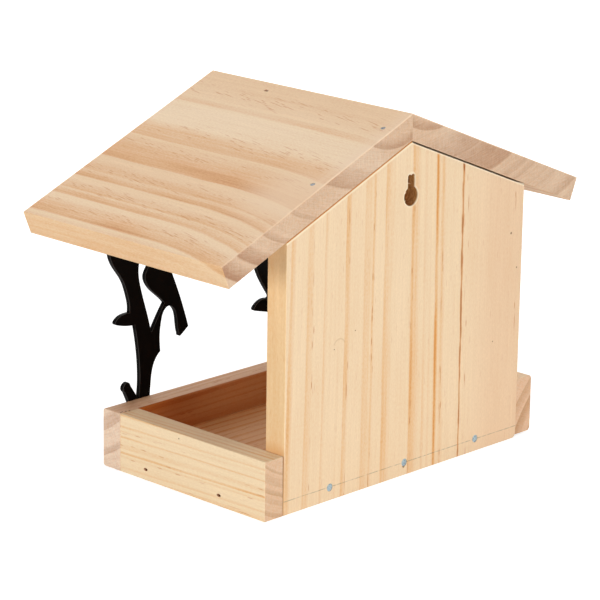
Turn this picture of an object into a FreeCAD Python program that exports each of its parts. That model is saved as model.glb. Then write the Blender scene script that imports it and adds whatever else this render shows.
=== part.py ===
"""Wall bird table: a small pine feeding tray under a pitched roof, hung on a wall by a keyhole slot.

Seven boards are nailed together, two black cut-out plates stand on the front board, and nothing moves.
Sizes are in millimetres. Heights are measured from the underside of the tray while the pieces are drawn,
and export() then puts the origin at the centre of the keyhole's round entry, on the face against the wall.
+Y points into the wall, +Z points up, and left (-X) and right (+X) are as seen from the front.
"""

import FreeCAD
import Part
import math
import os

from FreeCAD import Vector

# Boards
BOARD = 12.0
EASE = 0.4
PANEL_WIDTH = 164.6
PANEL_EAVES_HEIGHT = 130.0
PANEL_APEX_HEIGHT = 163.8
PANEL_CORNER_ROUND = 2.5
PANEL_TO_SIDE_GAP = 0.2
LEFT_SLOPE_GAP = 0.7
LEFT_SLOPE_CONTACT = 6.0

# Direction of the grain, along which the wide side of a brad's head lies
SIDE_GRAIN = Vector(0, 1, 0)
FRONT_GRAIN = Vector(1, 0, 0)
ROOF_GRAIN = Vector(0, 1, 0)

# Tray
TRAY_HEIGHT = 29.0
TRAY_DEPTH = 109.3
LEFT_SIDE_RECESS = 1.0
LEFT_SIDE_LIFT = 0.8
FRONT_OUTER_ROUND = 1.4
LEFT_OUTER_ROUND = 2.0

# Roof
ROOF_SLOPE_LENGTH = 133.0
ROOF_DEPTH = 133.0

# Keyhole, routed blind from the wall side with an undercut for the screw head
KEYHOLE_HEIGHT = 137.5
KEYHOLE_ENTRY_RADIUS = 4.75
KEYHOLE_SLOT_WIDTH = 4.9
KEYHOLE_TRAVEL = 8.6
KEYHOLE_LIP = 3.5
KEYHOLE_DEPTH = 9.0
KEYHOLE_LOBE_RADIUS = 1.3
KEYHOLE_LOBE_SPREAD = 1.1

# Fasteners
NAIL_HEAD_RADIUS = 1.9
NAIL_SHANK_RADIUS = 1.0
NAIL_LENGTH = 28.0
NAIL_SINK = 0.25
NAIL_LINE_HEIGHT = 6.4
NAIL_SPACING = 51.5
NAIL_CHIP_RADIUS = 0.7
NAIL_CHIP_DEPTH = 1.5
NAIL_CHIP_X = 0.5
PIN_HEAD_RADIUS = 1.25
PIN_SHANK_RADIUS = 0.8
PIN_LENGTH = 20.0
PIN_DISTANCES = (15.0, 65.0)
BRAD_HEAD = 2.4
BRAD_SHANK = 1.3
BRAD_THICKNESS = 1.0
BRAD_LENGTH = 25.0
BRAD_SINK = 1.2
SIDE_BRAD_DISTANCES = (30.0, 79.5)
SIDE_BRAD_HEIGHT = 5.4
FRONT_BRAD_HEIGHTS = (9.0, 20.0)
FRONT_FLOOR_BRAD_X = 45.0
RIDGE_BRAD_OFFSET = 6.6
RIDGE_BRAD_RIGHT = 89.5
RIDGE_BRAD_LEFT = 44.0
SCREW_HEAD_RADIUS = 2.6
SCREW_HEAD_HEIGHT = 1.6
SCREW_SHANK_RADIUS = 1.4
SCREW_LENGTH = 10.0
SCREW_RECESS_WIDTH = 0.6
SCREW_RECESS_FLOOR = 0.7

# Shapes of the fasteners, as shares of their radii
NAIL_HEAD_SHARE = 0.35
NAIL_CONE_SHARE = 0.6
NAIL_POINT_SHARE = 3.0
SCREW_SHOULDER_SHARE = (0.72, 0.8)
SCREW_RECESS_SHARE = 0.55
SCREW_TIP_SHARE = 2.0

# Cut-out plates; both sit off the middle plane by a shift of (x, height)
PLATE = 2.0
PLATE_SHIFT = (-0.8, -0.3)
SCREW_PLACES = ((70.4, 12.0), (70.2, 21.5))

# Points nearer than this count as the same place
TOUCH = 1e-6

# Worked out from the sizes above
HALF_PANEL = PANEL_WIDTH / 2
HALF_INNER = HALF_PANEL + PANEL_TO_SIDE_GAP
HALF_TRAY = HALF_INNER + BOARD
FLOOR_TOP = BOARD
INNER_FRONT = -(TRAY_DEPTH - BOARD)
FRONT_FACE = -TRAY_DEPTH
SLOPE = math.atan2(PANEL_APEX_HEIGHT - PANEL_EAVES_HEIGHT, HALF_PANEL)
RIDGE_HEIGHT = PANEL_APEX_HEIGHT + BOARD / math.cos(SLOPE)

# Outer side of a plate's trunk, right-hand copy, as x and height: shoot, side stub and forked top.
# Each stretch is one smooth curve, and the stretches meet at corners.
TRUNK_OUTER = (
    ((78.4, 6.5), (76.2, 12.0), (76.0, 20.0), (78.4, 28.0), (81.2, 34.0)),
    ((81.2, 34.0), (82.1, 36.6), (80.2, 38.3), (77.7, 36.4)),
    ((77.7, 36.4), (72.3, 28.4)),
    ((72.3, 28.4), (71.4, 36.0), (71.4, 43.0), (72.1, 52.0), (74.6, 66.6)),
    ((74.6, 66.6), (80.4, 67.2), (86.4, 68.8)),
    ((86.4, 68.8), (87.3, 69.7), (86.4, 71.0), (82.4, 72.8), (78.0, 73.0)),
    ((78.0, 73.0), (78.0, 77.2), (79.2, 82.0), (82.3, 89.9), (88.4, 98.4), (90.7, 104.0)),
    ((90.7, 104.0), (91.0, 108.0), (88.8, 110.4), (86.2, 108.6)),
    ((86.2, 108.6), (82.6, 102.6)),
    ((82.6, 102.6), (81.0, 107.0), (79.6, 112.6)),
    ((79.6, 112.6), (77.8, 115.6), (75.2, 114.2)),
    ((75.2, 114.2), (72.8, 104.0), (71.9, 97.0)),
)

# Inner side of the right-hand plate: the trunk's edge, a fork and a bird that sits upright on it.
RIGHT_INNER = (
    ((71.9, 97.0), (72.4, 92.4), (71.0, 84.2), (68.3, 75.2), (64.4, 61.0)),
    ((64.4, 61.0), (63.4, 60.8)),
    ((63.4, 60.8), (58.2, 69.2), (55.0, 73.6)),
    ((55.0, 73.6), (59.5, 78.0), (65.8, 84.0), (67.8, 89.6), (65.7, 93.6), (64.7, 96.8)),
    ((64.7, 96.8), (66.0, 99.8), (69.6, 102.2)),
    ((69.6, 102.2), (65.4, 103.4), (60.4, 106.0), (55.4, 102.0), (53.0, 94.0), (50.2, 87.3)),
    ((50.2, 87.3), (46.8, 79.5), (39.4, 58.9)),
    ((39.4, 58.9), (44.4, 55.2)),
    ((44.4, 55.2), (44.9, 55.1), (45.4, 56.4)),
    ((45.4, 56.4), (46.9, 64.8), (48.7, 69.6), (52.2, 71.8), (55.4, 70.2), (57.4, 65.6), (58.5, 58.1),
     (58.1, 49.9)),
    ((58.1, 49.9), (61.5, 46.4), (63.1, 43.0), (64.4, 36.1), (65.2, 27.0), (64.2, 14.0), (60.8, 6.5)),
    ((60.8, 6.5), (78.4, 6.5)),
)

# Inner side of the left-hand plate: a long branch with a cut end, and a bird that leans along it.
LEFT_INNER = (
    ((-71.9, 97.0), (-72.4, 92.4), (-71.0, 84.2), (-68.3, 75.2), (-65.4, 62.0), (-62.0, 51.6)),
    ((-62.0, 51.6), (-54.0, 49.6), (-44.0, 52.0), (-31.0, 57.8)),
    ((-31.0, 57.8), (-40.0, 58.4), (-56.6, 55.2)),
    ((-56.6, 55.2), (-58.2, 59.4)),
    ((-58.2, 59.4), (-42.0, 67.6), (-27.0, 76.0), (-18.1, 80.3)),
    ((-18.1, 80.3), (-16.9, 86.4), (-11.6, 89.8), (-6.6, 87.4), (-2.2, 84.4)),
    ((-2.2, 84.4), (-7.0, 82.4)),
    ((-7.0, 82.4), (-8.1, 78.3), (-12.0, 70.8), (-16.9, 63.6)),
    ((-16.9, 63.6), (-17.0, 62.3), (-15.6, 61.9)),
    ((-15.6, 61.9), (-10.9, 61.8), (-6.9, 59.4)),
    ((-6.9, 59.4), (-6.2, 58.0), (-7.2, 57.3)),
    ((-7.2, 57.3), (-16.1, 55.0), (-32.0, 50.2), (-48.0, 42.6), (-60.0, 34.4)),
    ((-60.0, 34.4), (-65.0, 26.0), (-64.2, 14.0), (-60.8, 6.5)),
    ((-60.8, 6.5), (-78.4, 6.5)),
)


def plane_xz(y):
    """Gives a function that lifts a point (x, height) to the upright plane at y."""
    return lambda point: Vector(point[0], y, point[1])


def plane_yz(x):
    """Gives a function that lifts a point (y, height) to the upright plane at x."""
    return lambda point: Vector(x, point[0], point[1])


def rounded_polygon(corners, lift):
    """Face with the given corners, each (a, b, radius); a radius of 0 leaves a sharp corner."""
    starts = []
    ends = []
    middles = []
    for i, (a, b, radius) in enumerate(corners):
        here = lift((a, b))
        before = lift(corners[i - 1][:2])
        after = lift(corners[(i + 1) % len(corners)][:2])
        to_before = (before - here).normalize()
        to_after = (after - here).normalize()
        half = to_before.getAngle(to_after) / 2
        reach = radius / math.tan(half)
        inward = (to_before + to_after).normalize()
        starts.append(here + to_before * reach)
        ends.append(here + to_after * reach)
        middles.append(here + inward * (radius / math.sin(half) - radius))
    edges = []
    for i, (a, b, radius) in enumerate(corners):
        if radius > 0:
            edges.append(Part.Arc(starts[i], middles[i], ends[i]).toShape())
        edges.append(Part.LineSegment(ends[i], starts[(i + 1) % len(corners)]).toShape())
    return Part.Face(Part.Wire(edges))


def edges_where(solid, test):
    """Edges whose two ends both pass the test."""
    return [edge for edge in solid.Edges if all(test(vertex.Point) for vertex in edge.Vertexes)]


def ease_ends(solid, axis, low, high):
    """Rounds the sharp arrises round the two ends of a board that runs from low to high along an axis."""
    def on_end(point):
        return min(abs(point[axis] - low), abs(point[axis] - high)) < TOUCH
    return solid.makeFillet(EASE, edges_where(solid, on_end))


def drilled(board, tools):
    """Board with the holes of its fasteners."""
    return board.cut(Part.makeCompound(tools))


def aimed(shape, point, direction, width=None):
    """Puts a fastener drawn down -Z at a point, running in a direction, with its X side along the width."""
    if width is None:
        turn = FreeCAD.Rotation(Vector(0, 0, -1), direction)
    else:
        turn = FreeCAD.Rotation(width, Vector(), -direction, "ZXY")
    placed = shape.copy()
    placed.Placement = FreeCAD.Placement(point, turn)
    return placed


def turned(profile):
    """Solid of revolution about Z from a profile of (radius, z) points that starts and ends on the axis."""
    face = Part.Face(Part.makePolygon([Vector(r, 0, z) for r, z in profile + profile[:1]]))
    return face.revolve(Vector(0, 0, 0), Vector(0, 0, 1), 360)


def flat_nail(head_radius, shank_radius, length):
    """Wire nail with a flat head that is coned underneath, and a diamond-like point."""
    head = head_radius * NAIL_HEAD_SHARE
    cone = head + (head_radius - shank_radius) * NAIL_CONE_SHARE
    point = shank_radius * NAIL_POINT_SHARE
    profile = [
        (0, -NAIL_SINK),
        (head_radius, -NAIL_SINK),
        (head_radius, -NAIL_SINK - head),
        (shank_radius, -NAIL_SINK - cone),
        (shank_radius, point - length),
        (0, -length),
    ]
    return turned(profile)


def nail_hole(head_radius, shank_radius, length):
    """Space that a nail takes up, with the shallow dent over its head."""
    dent = Part.makeCylinder(head_radius, NAIL_SINK * 2, Vector(0, 0, -NAIL_SINK))
    return flat_nail(head_radius, shank_radius, length).fuse(dent)


def brad():
    """Brad cut from flat wire, with a small T head and a chisel point, driven below the surface."""
    head = BRAD_HEAD / 2
    shank = BRAD_SHANK / 2
    top = -BRAD_SINK
    under_head = top - BRAD_SHANK
    point = -BRAD_LENGTH + BRAD_SHANK
    outline = [
        (-head, top), (head, top), (shank, under_head), (shank, point),
        (0, -BRAD_LENGTH), (-shank, point), (-shank, under_head),
    ]
    corners = [(a, b, 0) for a, b in outline]
    return rounded_polygon(corners, plane_xz(-BRAD_THICKNESS / 2)).extrude(Vector(0, BRAD_THICKNESS, 0))


def brad_hole():
    """Space that a sunk brad takes up, open from its head to the surface."""
    mouth = Part.makeBox(
        BRAD_HEAD, BRAD_THICKNESS, BRAD_SINK * 2, Vector(-BRAD_HEAD / 2, -BRAD_THICKNESS / 2, -BRAD_SINK)
    )
    return brad().fuse(mouth)


def pan_screw():
    """Pan-head screw with a cross recess; the underside of the head is at the origin."""
    tip = SCREW_SHANK_RADIUS * SCREW_TIP_SHARE
    shank = turned([
        (0, 0),
        (SCREW_SHANK_RADIUS, 0),
        (SCREW_SHANK_RADIUS, tip - SCREW_LENGTH),
        (0, -SCREW_LENGTH),
    ])
    crown = Vector(0, 0, SCREW_HEAD_HEIGHT)
    across, up = SCREW_SHOULDER_SHARE
    shoulder = Vector(SCREW_HEAD_RADIUS * across, 0, SCREW_HEAD_HEIGHT * up)
    rim = Vector(SCREW_HEAD_RADIUS, 0, 0)
    edges = [
        Part.Arc(crown, shoulder, rim).toShape(),
        Part.LineSegment(rim, Vector(0, 0, 0)).toShape(),
        Part.LineSegment(Vector(0, 0, 0), crown).toShape(),
    ]
    head = Part.Face(Part.Wire(edges)).revolve(Vector(0, 0, 0), Vector(0, 0, 1), 360)
    arm = SCREW_HEAD_RADIUS * SCREW_RECESS_SHARE
    corner = Vector(-arm, -SCREW_RECESS_WIDTH / 2, SCREW_RECESS_FLOOR)
    recess = []
    for angle in (0, 90):
        bar = Part.makeBox(arm * 2, SCREW_RECESS_WIDTH, SCREW_HEAD_HEIGHT, corner)
        recess.append(bar.rotate(Vector(0, 0, 0), Vector(0, 0, 1), angle))
    return shank.fuse(head).cut(Part.makeCompound(recess))


def keyhole():
    """Routed keyhole: round entry, narrow slot with a torn two-lobed end, and an undercut behind the lip."""
    into_wood = Vector(0, -1, 0)
    centre = Vector(0, 0, KEYHOLE_HEIGHT)
    slot_end = centre + Vector(0, 0, KEYHOLE_TRAVEL)
    half = KEYHOLE_SLOT_WIDTH / 2
    entry = Part.makeCylinder(KEYHOLE_ENTRY_RADIUS, KEYHOLE_DEPTH, centre, into_wood)
    slot_corner = centre + Vector(-half, -KEYHOLE_LIP, 0)
    slot = Part.makeBox(KEYHOLE_SLOT_WIDTH, KEYHOLE_LIP, KEYHOLE_TRAVEL, slot_corner)
    lobes = []
    for side in (-1, 1):
        place = slot_end + Vector(side * KEYHOLE_LOBE_SPREAD, 0, KEYHOLE_LOBE_RADIUS / 2)
        lobes.append(Part.makeCylinder(KEYHOLE_LOBE_RADIUS, KEYHOLE_LIP, place, into_wood))
    behind = KEYHOLE_DEPTH - KEYHOLE_LIP
    undercut = Part.makeBox(
        KEYHOLE_ENTRY_RADIUS * 2, behind, KEYHOLE_TRAVEL,
        centre + Vector(-KEYHOLE_ENTRY_RADIUS, -KEYHOLE_DEPTH, 0),
    )
    under_lip = slot_end + Vector(0, -KEYHOLE_LIP, 0)
    round_end = Part.makeCylinder(KEYHOLE_ENTRY_RADIUS, behind, under_lip, into_wood)
    return entry.multiFuse([slot, undercut, round_end] + lobes)


def back_panel(holes):
    """Five-sided panel; its left slope stands clear of the roof except at the outer corner."""
    rise = math.tan(SLOPE)
    contact = LEFT_SLOPE_CONTACT
    corners = [
        (-HALF_PANEL, 0, PANEL_CORNER_ROUND),
        (HALF_PANEL, 0, EASE),
        (HALF_PANEL, PANEL_EAVES_HEIGHT, 0),
        (0, PANEL_APEX_HEIGHT, 0),
        (0, PANEL_APEX_HEIGHT - LEFT_SLOPE_GAP, 0),
        (-HALF_PANEL + contact, PANEL_EAVES_HEIGHT + contact * rise - LEFT_SLOPE_GAP, 0),
        (-HALF_PANEL, PANEL_EAVES_HEIGHT, 0),
    ]
    panel = rounded_polygon(corners, plane_xz(0)).extrude(Vector(0, -BOARD, 0))

    def below_eaves(point):
        on_face = min(abs(point.y), abs(point.y + BOARD)) < TOUCH
        return on_face and point.z < PANEL_EAVES_HEIGHT + TOUCH
    panel = panel.makeFillet(EASE, edges_where(panel, below_eaves))
    return drilled(panel, [keyhole()] + holes)


def tray_side(side, rear, lift, outer_round, holes):
    """Side board of the tray, side +1 on the right and -1 on the left, with its underside lifted."""
    inner = side * HALF_INNER
    outer = side * HALF_TRAY
    top = TRAY_HEIGHT + lift
    corners = [
        (inner, lift, EASE),
        (outer, lift, outer_round),
        (outer, top, outer_round),
        (inner, top, EASE),
    ]
    board = rounded_polygon(corners, plane_xz(rear)).extrude(Vector(0, INNER_FRONT - rear, 0))
    return drilled(ease_ends(board, 1, rear, INNER_FRONT), holes)


def tray_front(holes):
    """Front board over the ends of both side boards, with its outer long edges rounded."""
    corners = [
        (INNER_FRONT, 0, EASE),
        (FRONT_FACE, 0, FRONT_OUTER_ROUND),
        (FRONT_FACE, TRAY_HEIGHT, FRONT_OUTER_ROUND),
        (INNER_FRONT, TRAY_HEIGHT, EASE),
    ]
    board = rounded_polygon(corners, plane_yz(-HALF_TRAY)).extrude(Vector(HALF_TRAY * 2, 0, 0))
    return drilled(ease_ends(board, 0, -HALF_TRAY, HALF_TRAY), holes)


def tray_floor(holes):
    """Floor board let in between the panel, the sides and the front, level with the front's underside."""
    corners = [
        (-BOARD, 0, EASE),
        (INNER_FRONT, 0, EASE),
        (INNER_FRONT, FLOOR_TOP, EASE),
        (-BOARD, FLOOR_TOP, EASE),
    ]
    board = rounded_polygon(corners, plane_yz(-HALF_INNER)).extrude(Vector(HALF_INNER * 2, 0, 0))
    return drilled(ease_ends(board, 0, -HALF_INNER, HALF_INNER), holes)


def roof_point(side, distance, depth=0.0):
    """Point (x, height) at a distance down a slope from the ridge, at a depth under its top face."""
    x = distance * math.cos(SLOPE) - depth * math.sin(SLOPE)
    return (side * x, RIDGE_HEIGHT - distance * math.sin(SLOPE) - depth * math.cos(SLOPE))


def roof_board(side, holes):
    """Roof board, mitred on the upright plane at the ridge and cut square at the eave."""
    eave_top = roof_point(side, ROOF_SLOPE_LENGTH)
    eave_bottom = roof_point(side, ROOF_SLOPE_LENGTH, BOARD)
    corners = [
        (0, RIDGE_HEIGHT, 0),
        (*eave_top, EASE),
        (*eave_bottom, EASE),
        (0, PANEL_APEX_HEIGHT, 0),
    ]
    board = rounded_polygon(corners, plane_xz(0)).extrude(Vector(0, -ROOF_DEPTH, 0))

    def on_end(point):
        return min(abs(point.y), abs(point.y + ROOF_DEPTH)) < TOUCH
    loops = edges_where(board, on_end)
    mitres = [edge for edge in loops if all(abs(vertex.Point.x) < TOUCH for vertex in edge.Vertexes)]
    eased = [edge for edge in loops if not any(edge.isSame(mitre) for mitre in mitres)]
    return drilled(board.makeFillet(EASE, eased), holes)


def cut_out_plate(outline, holes):
    """Black plate cut to an outline of smooth stretches, on the outer face of the front board."""
    lift = plane_xz(FRONT_FACE)
    aside, up = PLATE_SHIFT
    edges = []
    for stretch in outline:
        points = [lift((x + aside, height + up)) for x, height in stretch]
        if len(points) == 2:
            edges.append(Part.LineSegment(*points).toShape())
            continue
        curve = Part.BSplineCurve()
        curve.interpolate(points)
        edges.append(curve.toShape())
    face = Part.Face(Part.Wire(Part.__sortEdges__(edges)))
    return drilled(face.extrude(Vector(0, -PLATE, 0)), holes)


def mirrored(outline):
    """The same stretches on the other side of the middle plane."""
    return tuple(tuple((-x, height) for x, height in stretch) for stretch in outline)


def back_nail_places():
    """Three nails through the panel into the rear edge of the floor, along a marked line."""
    return [(Vector(x, 0, NAIL_LINE_HEIGHT), Vector(0, -1, 0)) for x in (-NAIL_SPACING, 0, NAIL_SPACING)]


def roof_pin_places(side):
    """Two pins through a roof board into the sloping top of the panel, square to the slope."""
    inward = Vector(-side * math.sin(SLOPE), 0, -math.cos(SLOPE))
    places = []
    for distance in PIN_DISTANCES:
        x, height = roof_point(side, distance)
        places.append((Vector(x, -BOARD / 2, height), inward))
    return places


def ridge_brad_place(side, distance):
    """Brad through the mitre from one roof board into the other, along the other board's slope."""
    x, height = roof_point(side, RIDGE_BRAD_OFFSET)
    along_slope = Vector(-side * math.cos(SLOPE), 0, -math.sin(SLOPE))
    return (Vector(x, -distance, height), along_slope, ROOF_GRAIN)


def side_brad_places(side):
    """Two brads through a side board into the end of the floor."""
    inward = Vector(-side, 0, 0)
    return [(Vector(side * HALF_TRAY, -y, SIDE_BRAD_HEIGHT), inward, SIDE_GRAIN) for y in SIDE_BRAD_DISTANCES]


def front_brad_places():
    """Brads through the front board: two into the end of each side board and two into the floor."""
    inward = Vector(0, 1, 0)
    middle_of_side = HALF_INNER + BOARD / 2
    places = [(x, height) for x in (-middle_of_side, middle_of_side) for height in FRONT_BRAD_HEIGHTS]
    places += [(x, FLOOR_TOP / 2) for x in (-FRONT_FLOOR_BRAD_X, FRONT_FLOOR_BRAD_X)]
    return [(Vector(x, FRONT_FACE, height), inward, FRONT_GRAIN) for x, height in places]


def screw_places(side):
    """Two screws through the foot of a plate into the front board."""
    aside, up = PLATE_SHIFT
    inward = Vector(0, 1, 0)
    places = [(side * x + aside, height + up) for x, height in SCREW_PLACES]
    return [(Vector(x, FRONT_FACE - PLATE, height), inward) for x, height in places]


def at_all(shape, places):
    """Copies of a fastener, or of its hole, at each place."""
    return [aimed(shape, *place) for place in places]


def export(name, shapes):
    """Writes one node, moved so that the keyhole's entry is at the origin."""
    shape = shapes[0] if len(shapes) == 1 else Part.makeCompound(shapes)
    moved = shape.copy()
    moved.translate(Vector(0, 0, -KEYHOLE_HEIGHT))
    if not moved.isValid():
        raise ValueError(name + " is not a valid solid")
    moved.exportStep("parts/" + name + ".step")
    box = moved.BoundBox
    print(name, len(moved.Solids), "solids", round(moved.Volume), "mm3",
          [round(v, 1) for v in (box.XMin, box.XMax, box.YMin, box.YMax, box.ZMin, box.ZMax)])


def main():
    os.makedirs("parts", exist_ok=True)

    nail_size = (NAIL_HEAD_RADIUS, NAIL_SHANK_RADIUS, NAIL_LENGTH)
    pin_size = (PIN_HEAD_RADIUS, PIN_SHANK_RADIUS, PIN_LENGTH)
    pin_places = {side: roof_pin_places(side) for side in (-1, 1)}
    side_places = {side: side_brad_places(side) for side in (-1, 1)}
    ridge_places = [ridge_brad_place(1, RIDGE_BRAD_RIGHT), ridge_brad_place(-1, RIDGE_BRAD_LEFT)]
    plate_screws = {side: screw_places(side) for side in (-1, 1)}

    nail_holes = at_all(nail_hole(*nail_size), back_nail_places())
    pin_holes = {side: at_all(nail_hole(*pin_size), pin_places[side]) for side in (-1, 1)}
    side_holes = {side: at_all(brad_hole(), side_places[side]) for side in (-1, 1)}
    front_holes = at_all(brad_hole(), front_brad_places())
    ridge_holes = at_all(brad_hole(), ridge_places)
    screw_holes = {side: at_all(pan_screw(), plate_screws[side]) for side in (-1, 1)}
    chip = Part.makeCylinder(
        NAIL_CHIP_RADIUS, NAIL_CHIP_DEPTH,
        Vector(NAIL_CHIP_X, 0, NAIL_LINE_HEIGHT - NAIL_HEAD_RADIUS), Vector(0, -1, 0),
    )

    export("back_panel", [back_panel(nail_holes + pin_holes[-1] + pin_holes[1] + [chip])])
    export("tray_side_right", [tray_side(1, 0, 0, EASE, side_holes[1] + front_holes)])
    left_holes = side_holes[-1] + front_holes
    left_side = tray_side(-1, -LEFT_SIDE_RECESS, LEFT_SIDE_LIFT, LEFT_OUTER_ROUND, left_holes)
    export("tray_side_left", [left_side])
    export("tray_front", [tray_front(front_holes + screw_holes[-1] + screw_holes[1])])
    export("tray_floor", [tray_floor(nail_holes + side_holes[-1] + side_holes[1] + front_holes)])
    export("roof_board_right", [roof_board(1, pin_holes[1] + ridge_holes)])
    export("roof_board_left", [roof_board(-1, pin_holes[-1] + ridge_holes)])
    export("cut_out_right", [cut_out_plate(TRUNK_OUTER + RIGHT_INNER, screw_holes[1])])
    export("cut_out_left", [cut_out_plate(mirrored(TRUNK_OUTER) + LEFT_INNER, screw_holes[-1])])

    export("back_panel_nails", at_all(flat_nail(*nail_size), back_nail_places()))
    export("roof_pins", at_all(flat_nail(*pin_size), pin_places[-1] + pin_places[1]))
    export("ridge_brads", at_all(brad(), ridge_places))
    export("side_brads", at_all(brad(), side_places[-1] + side_places[1]))
    export("front_brads", at_all(brad(), front_brad_places()))
    export("cut_out_screws", at_all(pan_screw(), plate_screws[-1] + plate_screws[1]))


main()
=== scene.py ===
"""Looks of a wall bird table: solid pine figure on every board, satin black cut-outs, zinc nails and a stage.

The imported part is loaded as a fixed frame. Every board keeps its own solid and gets a pine material in which
growth rings run about a pith line, so that a face shows bands, and an end shows the arcs of the same rings.
Millimetres are used for the figure of the wood, and metres for everything that is placed.
"""

import math
from collections import namedtuple

import bmesh
import bpy
import numpy as np
from bpy.props import FloatProperty, FloatVectorProperty, PointerProperty
from mathutils import Matrix, Vector


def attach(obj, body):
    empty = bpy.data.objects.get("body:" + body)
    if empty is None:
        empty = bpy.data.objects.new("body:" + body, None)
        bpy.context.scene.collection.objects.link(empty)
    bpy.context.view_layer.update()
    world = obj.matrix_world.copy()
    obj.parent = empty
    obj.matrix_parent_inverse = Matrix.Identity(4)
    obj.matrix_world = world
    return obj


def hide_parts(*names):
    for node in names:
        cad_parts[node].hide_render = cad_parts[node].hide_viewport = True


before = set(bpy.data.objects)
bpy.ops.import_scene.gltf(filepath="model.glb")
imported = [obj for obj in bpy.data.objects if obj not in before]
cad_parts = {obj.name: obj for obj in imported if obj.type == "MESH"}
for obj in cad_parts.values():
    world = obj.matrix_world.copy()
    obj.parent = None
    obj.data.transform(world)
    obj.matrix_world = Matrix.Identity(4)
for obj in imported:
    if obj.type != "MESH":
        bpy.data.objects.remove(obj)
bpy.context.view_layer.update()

bl_info = {
    "name": "Wall bird table",
    "version": (1, 0, 0),
    "blender": (4, 5, 0),
    "location": "3D view > Sidebar > Bird table",
    "description": "Pine, black coat and zinc looks for a wall bird table, with its studio stage",
    "category": "Object",
}

MM = 0.001
AXES = ((1.0, 0.0, 0.0), (0.0, 1.0, 0.0), (0.0, 0.0, 1.0))
# Noise seldom strays far from its middle, so it is widened to fill plus or minus 1
NOISE_GAIN = 2.6

# Sizes of the part in millimetres, in the row frame, whose origin is the keyhole's entry
BASE = -137.5
BOARD = 12.0
PANEL_HALF = 82.3
SLOPE = math.atan2(33.8, PANEL_HALF)
PANEL_APEX = 163.8 + BASE
RIDGE = PANEL_APEX + BOARD / math.cos(SLOPE)
TRAY_TOP = 29.0 + BASE
FLOOR_TOP = BOARD + BASE
INNER_SIDE = 82.5
OUTER_SIDE = INNER_SIDE + BOARD
INNER_FRONT = -97.3
KEYHOLE_ENTRY = 4.75
KEYHOLE_SLOT = 2.45
KEYHOLE_RISE = 8.6


def srgb(red, green, blue):
    """Linear colour from display values of 0 to 255: c / 12.92 below the knee, and a 2.4 power above it."""
    shares = np.array((red, green, blue)) / 255.0
    return tuple(np.where(shares <= 0.04045, shares / 12.92, ((shares + 0.055) / 1.055) ** 2.4))


def colour_property(name, description, rgb):
    """Colour setting with a display-space default."""
    return FloatVectorProperty(
        name=name, description=description, subtype="COLOR", size=3, min=0.0, max=1.0, default=srgb(*rgb)
    )


def power_property(name, description, watts):
    """Power setting of a lamp."""
    return FloatProperty(name=name, description=description, default=watts, unit="POWER")


class PineLook(bpy.types.PropertyGroup):
    """Colours of planed pine: cream for the panel and sides, rose for the roof, front and floor."""

    cream_pale: colour_property("Cream early wood", "Pale wood between the bands", (242, 215, 179))
    cream_late: colour_property("Cream late wood", "Dark edge of a common band", (236, 194, 146))
    cream_honey: colour_property("Cream resin line", "The strongest lines", (224, 156, 84))
    cream_blush: colour_property("Cream blush", "Tint of the redder side of a board", (250, 242, 240))
    cream_end: colour_property("Cream end grain", "Pale rings on a sawn end", (235, 200, 168))
    cream_end_late: colour_property("Cream end rings", "Dark rings on a sawn end", (198, 154, 116))
    rose_pale: colour_property("Rose early wood", "Pale wood between the bands", (246, 220, 188))
    rose_late: colour_property("Rose late wood", "Dark edge of a common band", (234, 190, 146))
    rose_honey: colour_property("Rose resin line", "The strongest lines", (211, 148, 98))
    rose_blush: colour_property("Rose blush", "Tint of the redder side of a board", (243, 228, 214))
    rose_end: colour_property("Rose end grain", "Pale rings on a sawn end", (240, 218, 195))
    rose_end_late: colour_property("Rose end rings", "Dark rings on a sawn end", (184, 144, 118))
    # Painted shade: the two inside tints darken and redden the boards inside the tray, under the roof.
    inside: colour_property("Inside", "Tint of the floor and sides inside the tray", (240, 217, 196))
    deep_inside_shade: colour_property("Deep inside", "Tint of the front board inside the tray", (192, 130, 76))
    dash: colour_property("Resin dashes", "Short dark canals along the grain", (198, 118, 58))


class FinishLook(bpy.types.PropertyGroup):
    """Coats and platings of the metal pieces."""

    coat: colour_property("Black coat", "Satin coat of the cut-outs", (7, 5, 5))
    arris_round: FloatProperty(
        name="Arris round", description="Rounding of the cut-outs' edges", default=0.35 * MM, unit="LENGTH"
    )
    coat_depth: FloatProperty(
        name="Coat depth", description="Thickness of the cut-outs' coat", default=0.2 * MM, unit="LENGTH"
    )
    # Painted highlight: grey along the rounded edges of the cut-outs, where they would catch the light.
    coat_rim_highlight: colour_property("Worn rim", "Coat rubbed thin along the edges", (64, 61, 59))
    zinc: colour_property("Zinc", "Plating of the nail heads", (176, 194, 203))
    dull_zinc: colour_property("Dull zinc", "Plating of the roof pins", (160, 165, 170))
    steel: colour_property("Steel", "Sunk brads of the tray", (118, 50, 14))
    worn_steel: colour_property("Worn steel", "Brads at the ridge", (205, 182, 165))


class StageLook(bpy.types.PropertyGroup):
    """Floor, light and lens."""

    lens: FloatProperty(
        name="Lens", description="Focal length on a 36 mm sensor", default=176.76, subtype="DISTANCE_CAMERA"
    )
    ambient: FloatProperty(name="Ambient", description="Strength of the light from all round", default=0.1)
    key: power_property("Key lamp", "Power of the main lamp", 13.4)
    side: power_property("Side lamp", "Power of the side lamp", 14.6)
    low: power_property("Low lamp", "Power of the low lamp", 7.7)
    top: power_property("Top lamp", "Power of the lamp overhead", 15.5)
    left: power_property("Left lamp", "Power of the left lamp", 16.0)
    front: power_property("Front lamp", "Power of the front lamp", 9.0)
    floor_reach: FloatProperty(
        name="Floor reach", description="Half the floor's width", default=6.0, unit="LENGTH"
    )


class BirdTableLook(bpy.types.PropertyGroup):
    """All settings of the bird table's looks."""

    pine: PointerProperty(type=PineLook)
    finish: PointerProperty(type=FinishLook)
    stage: PointerProperty(type=StageLook)


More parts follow.
